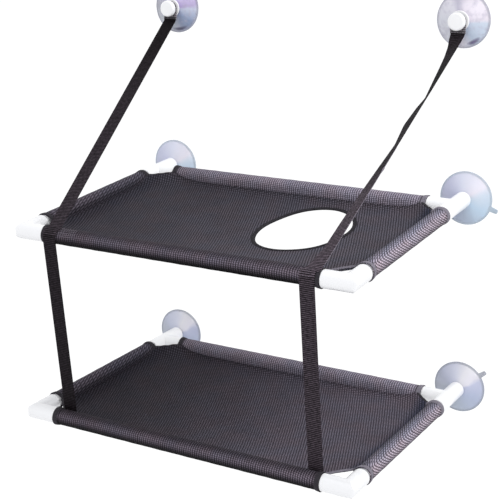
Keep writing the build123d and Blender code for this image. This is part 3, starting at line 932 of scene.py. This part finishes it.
def hem_strip(sx, sy):
    """Folded hem on a cut corner edge, in the tier's space."""
    plan = resampled([(*p, 0.0) for p in cut_edge(sx, sy)], HEM_STEP)[:, :2]
    inner = plan + np.array([-sx, -sy]) * HEM_TURN_IN
    edge, behind = (on_panel(each, -CLOTH_THICKNESS / 2) for each in (plan, inner))
    along, across = unit(np.gradient(edge, axis=0)), unit(behind - edge)
    across = unit(across - along * (across * along).sum(1)[:, None])
    normals = np.cross(along, across)
    normals *= np.sign(normals[:, 2:])
    return capped(*ribbon_rows(edge + across * HEM_BACK, across, normals, HEM_SIZE, crown=0.0002))


def cuff(side, end):
    """Double hem at one mouth of a sleeve."""
    rows, uvs = [], []
    for share, proud in CUFF_PROFILE:
        back = share * CUFF_WIDTH
        points, around, _ = sleeve_ring(side, end * (side.length / 2 - back + CUFF_OVER), proud)
        rows.append(points)
        uvs.append(np.column_stack([around, np.full(len(around), back)]))
    return facing(*grid(rows, uvs, wrap=True), outward(side))


def placed(tier, parts):
    """Parts of a tier's own space as one mesh in the row frame."""
    points, faces, corners = joined(parts)
    return in_tier(tier, points), faces, corners


def seam_path(side):
    """Line beside a sleeve's seam, on the panel."""
    run = (side.length - 0.02) * np.linspace(-0.5, 0.5, 80)[:, None]
    plan = side.origin + side.direction * run + side.inward * (SEAM_IN + SEAM_ROW[0])
    return on_panel(plan[:, :2], SEAM_ROW[1])


def edge_pieces(tier):
    """Hems of the cut corners and cuffs of the sleeves. Those in the light from the right are pale."""
    pieces = []
    for word, material in (("pale", LIT_HEM), ("dark", SHADED_HEM)):
        pale = word == "pale"
        hems = [hem_strip(*corner) for corner in CORNERS if (corner == WIDE_CORNER) == pale]
        cuffs = [cuff(side, end) for side in TIER_SIDES for end in (-1, 1)
                 if (side.name == "right" or (side.name, end) == ("back", 1)) == pale]
        for kind, parts in (("corner_hems", hems), ("sleeve_cuffs", cuffs)):
            pieces.append(mesh_piece(f"{tier}_{word}_{kind}", placed(tier, parts), material))
        thicken(pieces[-1], CUFF_THICKNESS)
    return pieces


def hammock(tier):
    """Cloth, hems and stitching of one tier."""
    made = [panel_mesh(tier)] + [sleeve_mesh(side) for side in TIER_SIDES]
    parts, painted_shades = zip(*made)
    cloth = mesh_piece(f"{tier}_hammock_cloth", placed(tier, parts), PANEL_CLOTH, np.concatenate(painted_shades))
    kinds = [0] * len(parts[0][1])
    # the right, back and front sleeves take the lit and shaded copies of the cloth
    for part, side in zip(parts[1:], TIER_SIDES):
        kinds += [{"right": 1, "back": 2, "front": 3}.get(side.name, 0)] * len(part[1])
    for material in (RIGHT_SLEEVE_LIT_CLOTH, BACK_SLEEVE_LIT_CLOTH, FRONT_SLEEVE_SHADED_CLOTH):
        cloth.data.materials.append(material)
    cloth.data.polygons.foreach_set("material_index", kinds)
    thicken(cloth, CLOTH_THICKNESS)

    rows = [stitch for side in TIER_SIDES for stitch in stitches(seam_path(side), upward)]
    seams = mesh_piece(f"{tier}_seam_stitches", placed(tier, rows), DARK_THREAD)
    edges = edge_pieces(tier)
    belong(f"{tier}_tier", "mesh_fabric", cloth, *edges)
    belong(f"{tier}_tier", "binding_tape", seams)
    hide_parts(f"{tier}_hammock")
    hammock_area(tier == "upper")


def hammock_area(with_hole):
    """Flat area of the cut: the panel, less its corners and hole, and the four tunnels."""
    section = sleeve_section((SEAM_IN + SEAM_OVERLAP, PANEL_TOP + SIDE_RISE))
    girth = run_lengths(np.concatenate([section, section[:1]]))[-1]
    tunnels = sum(side.length for side in TIER_SIDES) * girth
    panel = 2 * (SIDE_X - SEAM_IN) * (BACK_Y - FRONT_Y - 2 * SEAM_IN)
    panel -= 4 * (CUT_REACH - SEAM_IN) ** 2 / 2
    if with_hole:
        panel -= pi * HOLE_HALF[0] * HOLE_HALF[1]
    return panel + tunnels


def hole_binding():
    """Folded tape round the hole, with its stitching."""
    centres = on_panel(hole_outline(BINDING_WIDTH / 2, 160), -CLOTH_THICKNESS / 2)
    along = unit(np.roll(centres, -1, axis=0) - np.roll(centres, 1, axis=0))
    centres, along = (np.concatenate([rows, rows[:1]]) for rows in (centres, along))
    across = unit(np.cross(along, UP))
    rows, uvs = ribbon_rows(centres, across, np.cross(across, along), TAPE_SIZE, crown=0.0003)
    tape = grid(rows[:-1], uvs, wrap=True, ring=True)
    piece = mesh_piece("upper_hole_tape", placed("upper", [tape]), BINDING_CLOTH)
    sewn = stitches(on_panel(hole_outline(HOLE_ROW[0], 200), HOLE_ROW[1]), upward)
    sewn = mesh_piece("upper_hole_stitches", placed("upper", sewn), DARK_THREAD)
    belong("upper_tier", "binding_tape", piece, sewn)
    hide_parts("upper_hole_binding")


# Straps

def front_axis(tier):
    """Place of a tier's front tube axis, x = 0."""
    return in_tier(tier, [(0, FRONT_Y, 0)])[0]


def round_tube(axis, x, radius, turns):
    """Points round a front tube's axis. Turns run from the window's side over the top."""
    x, turns = np.broadcast_arrays(x, turns)
    return axis + np.stack([x, radius * np.cos(turns), radius * np.sin(turns)], axis=-1)


def off_tube(axis):
    """Direction away from a front tube's axis, at any place."""
    return lambda place: (place - axis) * (0, 1, 1)


def strap_turns(name, shares):
    """Turn of an upper strap in radians at shares of its run, with its steps smoothed out."""
    fine = np.linspace(-0.1, 1.1, 1201)
    turns = np.interp(fine, *zip(*STRAP_TURNS[name]))
    weights = np.exp(-np.linspace(-2.5, 2.5, 31) ** 2 / 2)
    smooth = np.convolve(turns, weights / weights.sum(), mode="same")
    return np.radians(np.interp(shares, fine, smooth))


def strap_frame(line, turns=0.0):
    """Directions across a strap and off its face, turned about a line by angles."""
    along = unit(np.gradient(line, axis=0))
    level = unit(ALONG_X - along * (along @ ALONG_X)[:, None])
    up = np.cross(along, level)
    turns = np.reshape(turns, (-1, 1))
    across = level * np.cos(turns) + up * np.sin(turns)
    return across, np.cross(across, along)


def strap_band(name, centres, across, normals, shading_stops):
    """Webbing along a line, with its ribs and painted light and shade. The stops of that light and shade
    are (share of the length, tone).
    """
    size = (STRAP_W, STRAP_T - 2 * RIB_DEPTH)
    made = capped(*ribbon_rows(centres, across, normals, size, rib_depth=RIB_DEPTH))
    painted_shades = np.interp(np.linspace(0, 1, len(made[0])), *zip(*shading_stops))
    return mesh_piece(name, made, WEBBING, painted_shades)


def eye_place(name):
    """Centre of an upper cup's collar neck, from the collar's box."""
    low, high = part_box(f"top_collar_{name}")
    return np.array([(low.x + high.x) / 2, low.y + 0.003, (low.z + high.z) / 2])


def run_slope(name):
    """Slope of an upper strap's run down to the upper front tube."""
    eye, axis = eye_place(name), front_axis("upper")
    return atan2(eye[2] - EYE_SEWN_LENGTH - axis[2], eye[1] - axis[1])


def upper_strap(name):
    """Strap from its sewn eye to the upper front tube. It hangs from its right-hand edge."""
    eye, axis, slope = eye_place(name), front_axis("upper"), run_slope(name)
    half, landing = STRAP_W / 2, pi / 2 + slope
    x = LANDING_X[name] + half
    start = eye + np.array([half, EYE_LAYERS_Y[0], -EYE_SEWN_LENGTH + 0.002])
    end = round_tube(axis, x, WRAP_R, landing)
    knee = start + np.array([0, 0, -STRAP_BEND_R])
    first = knee + unit(end - knee) * STRAP_BEND_R
    bend = [start * (1 - s) ** 2 + knee * 2 * s * (1 - s) + first * s ** 2 for s in np.linspace(0, 1, 24)]
    line = [first + (end - first) * s for s in np.linspace(0, 1, 500)[1:]]
    lap = round_tube(axis, x, WRAP_R, np.linspace(landing, landing + LAP_START, 6)[1:])
    edge = resampled([*bend, *line, *lap], RIB_PITCH / 6)
    before, run = 2 * STRAP_BEND_R, np.linalg.norm(end - first)
    across, normals = strap_frame(edge, strap_turns(name, (run_lengths(edge) - before) / run))
    centres, shading_stops = edge - across * half, STRAP_PAINTED_LEVELS[name]
    webbing = strap_band(f"upper_strap_{name}_webbing", centres, across, normals, shading_stops)
    pieces = [webbing]
    if name == "right":
        begin, finish = (before + share * run for share in SELVEDGE_RUN)
        pieces.append(edge_thread(edge + across * 0.0002, normals, begin, finish))
    for piece in pieces:
        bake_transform(piece)
    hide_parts(f"upper_strap_{name}")
    eye_tab(name, eye)
    strap_fold(name, axis, slope)


def edge_thread(edge, normals, begin, finish):
    """Pale selvedge thread along part of a strap's edge, with a thicker knot in it."""
    lengths = run_lengths(edge)
    kept = (lengths > begin) & (lengths < finish)
    lengths, normals = lengths[kept], normals[kept]
    path = edge[kept] + normals * STRAP_T * 0.3
    side = unit(np.cross(unit(np.gradient(path, axis=0)), normals))
    knot = np.exp(-((lengths - (begin + 0.20 * (finish - begin))) / KNOT_SIZE[1]) ** 2)
    radii = SELVEDGE_R + KNOT_SIZE[0] * knot + 0.00008 * np.sin(lengths * 900.0)
    rows = [ring_about(*ring, 8) for ring in zip(path, side, normals, radii)]
    uvs = [[(0.0003 * j, run) for j in range(9)] for run in lengths]
    return mesh_piece("upper_strap_right_selvedge", capped(rows, uvs), THREAD)


def strap_fold(name, axis, slope):
    """Doubled end of the webbing on top of the upper front sleeve, sewn down in rows."""
    radius, x = WRAP_R + STRAP_T + FOLD_GAP, SIDES[name] * STRAP_X
    first = pi / 2 + slope + FOLD_START
    turns = np.linspace(first, first + FOLD_SPAN, 30)
    centres = resampled(round_tube(axis, x, radius, turns), RIB_PITCH / 6)
    across, normals = strap_frame(centres)
    fold = strap_band(f"strap_fold_{name}", centres, across, -normals, STRAP_PAINTED_LEVELS[name][-1:])
    parts, half = [], STRAP_W / 2 - 0.002
    for share in FOLD_ROWS:
        row = round_tube(axis, (x - half, x + half), radius + FOLD_STITCH_OUT, first + FOLD_SPAN * share)
        parts += stitches(row, off_tube(axis))
    thread = THREAD if name == "right" else DARK_THREAD
    belong("upper_tier", "webbing", fold, mesh_piece(f"strap_fold_stitches_{name}", joined(parts), thread))


def sewn_patch():
    """Box of crossed stitches on the upper front sleeve, beside the left strap."""
    axis, parts = front_axis("upper"), []
    low, high = (SLEEVE_R + out for out in PATCH_OUT)
    for turn in np.radians(100 + 62 * np.linspace(0, 1, 6)):
        parts += stitches(round_tube(axis, PATCH_X, low, turn), off_tube(axis))
    for x in np.linspace(*PATCH_X, 10):
        arc = round_tube(axis, x, high, np.radians(np.linspace(98, 164, 24)))
        parts += stitches(arc, off_tube(axis))
    belong("upper_tier", "webbing", mesh_piece("front_sleeve_sewn_patch", joined(parts), THREAD))


def eye_tab(name, eye):
    """Two sewn layers of webbing round the collar's neck, with a stitched box under it."""
    half, top, foot = STRAP_W / 2, -0.004, -EYE_SEWN_LENGTH
    round_top = EYE_R * circle(np.linspace(radians(-20), radians(200), 40))
    below = spread([(-half, top), (-half, foot), (half, foot), (half, top)], EYE_STEP)
    flat, faces = filled_outline([*round_top, *below], [EYE_HOLE_R * circle(full_turn(40))], EYE_STEP)
    corners = [flat[i] for face in faces for i in face]
    x, z = flat.T
    bulge = 0.0002 * np.cos(z * 2 * pi / RIB_PITCH)
    layers = joined([facing(np.column_stack([x, y - bulge, z]) + eye, faces, corners, roomward)
                     for y in EYE_LAYERS_Y])
    tab = mesh_piece(f"strap_eye_{name}", layers, LIT_EYE_WEBBING, np.ones(len(layers[0])))
    thicken(tab, EYE_LAYER_T, offset=0.0)
    path = [eye + np.array([x, EYE_STITCH_Y, z]) for x, z in EYE_BOX]
    sewn = mesh_piece(f"strap_eye_stitches_{name}", joined(stitches(path, roomward)), DARK_THREAD)
    belong("glass_side", "webbing", tab, sewn)


def lower_strap(name):
    """Strap that laps the upper front sleeve, crosses, and ends tucked behind the lower one."""
    upper, lower, x = front_axis("upper"), front_axis("lower"), LOWER_STRAP_X[name]
    offset = lower - upper
    lean = asin(2 * WRAP_R / np.linalg.norm(offset)) + atan2(offset[1], -offset[2])
    first = pi / 2 + run_slope(name) + LOWER_LAP_START
    top = round_tube(upper, x, WRAP_R, np.linspace(first, pi + lean, 24))
    foot = round_tube(lower, x, WRAP_R, np.linspace(lean, FOOT_END, 16))
    centres = resampled([*top, *foot], RIB_PITCH / 5)
    across, normals = strap_frame(centres)
    shading_stops = STRAP_PAINTED_LEVELS["lower " + name]
    piece = strap_band(f"lower_strap_{name}_webbing", centres, across, normals, shading_stops)
    belong("lower_straps", "webbing", piece)
    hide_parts(f"lower_strap_{name}")


# Carried-over parts, stage, light and camera

def dress_nodes():
    """Finishes of the parts that keep their own shape."""
    # knobs, collars and tees take the lighter copy of the white plastic, painted light
    finishes = {"tube": TUBE_PLASTIC, "elbow": WHITE_PLASTIC, "tee": LIGHTENED_PLASTIC, "socket": TUBE_PLASTIC,
                "collar": LIGHTENED_PLASTIC, "knob": LIGHTENED_PLASTIC, "stud": STEEL}
    for name, side in SIDES.items():
        painted_sectors, patch = TOP_CUP_LOOK[name]
        for cup, centre, look in (("top", (side * TOP_CUP[0], TOP_CUP[1]), (painted_sectors, TOP_RIM, patch)),
                                  ("upper", (side * SIDE_X, 0.0), (UPPER_CUP_PAINTED_LIGHT, UPPER_CUP_RIM)),
                                  ("lower", (side * SIDE_X, LOWER_Z), (LOWER_CUP_PAINTED_LIGHT, LOWER_CUP_RIM))):
            finishes[f"{cup}_cup_{name}"] = cup_vinyl(f"{cup}_cup_{name}_vinyl", centre, *look)
    for name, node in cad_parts.items():
        for word, material in finishes.items():
            if word in name:
                node.data.materials.clear()
                node.data.materials.append(material)


def seen_as(g, output, lit, seen):
    """Shows one shader to the camera and in gloss and glass, and lights with another."""
    path = g.add("ShaderNodeLightPath").outputs
    rays = g.math("MAXIMUM", path["Is Camera Ray"], path["Is Glossy Ray"])
    rays = g.math("MAXIMUM", rays, path["Is Transmission Ray"])
    blend = g.add("ShaderNodeMixShader", {0: rays, 1: lit, 2: seen})
    g.feed(output.inputs["Surface"], blend.outputs["Shader"])


def studio():
    """Pale floor well below the perch, white surroundings and soft lamps."""
    world = bpy.data.worlds.new("studio")
    bpy.context.scene.world = world
    world.use_nodes = True
    g = Graph(world)
    lit = g.nodes["Background"]
    g.feed(lit.inputs["Color"], AMBIENT_COLOUR)
    g.feed(lit.inputs["Strength"], AMBIENT)
    seen = g.add("ShaderNodeBackground", {"Color": (1, 1, 1, 1)})
    seen_as(g, g.nodes["World Output"], lit.outputs["Background"], seen.outputs["Background"])

    corners = [(x * FLOOR_HALF, y * FLOOR_HALF, FLOOR_Z) for x, y in ((-1, -1), (1, -1), (1, 1), (-1, 1))]
    mesh_piece("floor", (corners, [(0, 1, 2, 3)], []), floor_material())
    for name, place, size, power in LAMPS:
        data = bpy.data.lights.new(name, "AREA")
        data.shape = "DISK"
        data.size = size
        data.energy = power
        lamp = bpy.data.objects.new(name, data)
        bpy.context.scene.collection.objects.link(lamp)
        lamp.location = place
        lamp.rotation_euler = (LAMP_TARGET - Vector(place)).to_track_quat("-Z", "Y").to_euler()


def floor_material():
    """Pale floor that takes shadows and reads as white where it is lit."""
    material, g = new_material("pale_floor", Base_Color=(0.86, 0.86, 0.86, 1), Roughness=0.9)
    glow = g.add("ShaderNodeEmission", {"Strength": FLOOR_GLOW})
    matt = g.add("ShaderNodeBsdfDiffuse", {"Color": (FLOOR_SHADE, FLOOR_SHADE, FLOOR_SHADE, 1)})
    both = g.add("ShaderNodeAddShader", {0: glow.outputs["Emission"], 1: matt.outputs["BSDF"]})
    lit = g.nodes["Principled BSDF"].outputs["BSDF"]
    seen_as(g, g.nodes["Material Output"], lit, both.outputs["Shader"])
    return material


def camera():
    """Camera at the place and angle that the photograph was taken from."""
    data = bpy.data.cameras.new("camera")
    data.sensor_width = 36.0
    data.lens = CAMERA_LENS
    view = bpy.data.objects.new("camera", data)
    bpy.context.scene.collection.objects.link(view)
    level = Matrix.Rotation(CAMERA_AZIMUTH, 4, "Z") @ Matrix.Rotation(pi / 2 - CAMERA_ELEVATION, 4, "X")
    rolled = level @ Matrix.Rotation(CAMERA_ROLL, 4, "Z")
    view.matrix_world = Matrix.Translation(CAMERA_PLACE) @ rolled
    bpy.context.scene.camera = view


camera()
studio()
dress_nodes()
for tier in TIERS:
    hammock(tier)
hole_binding()
for name in SIDES:
    upper_strap(name)
    lower_strap(name)
sewn_patch()
bpy.context.scene.view_settings.view_transform = "Standard"
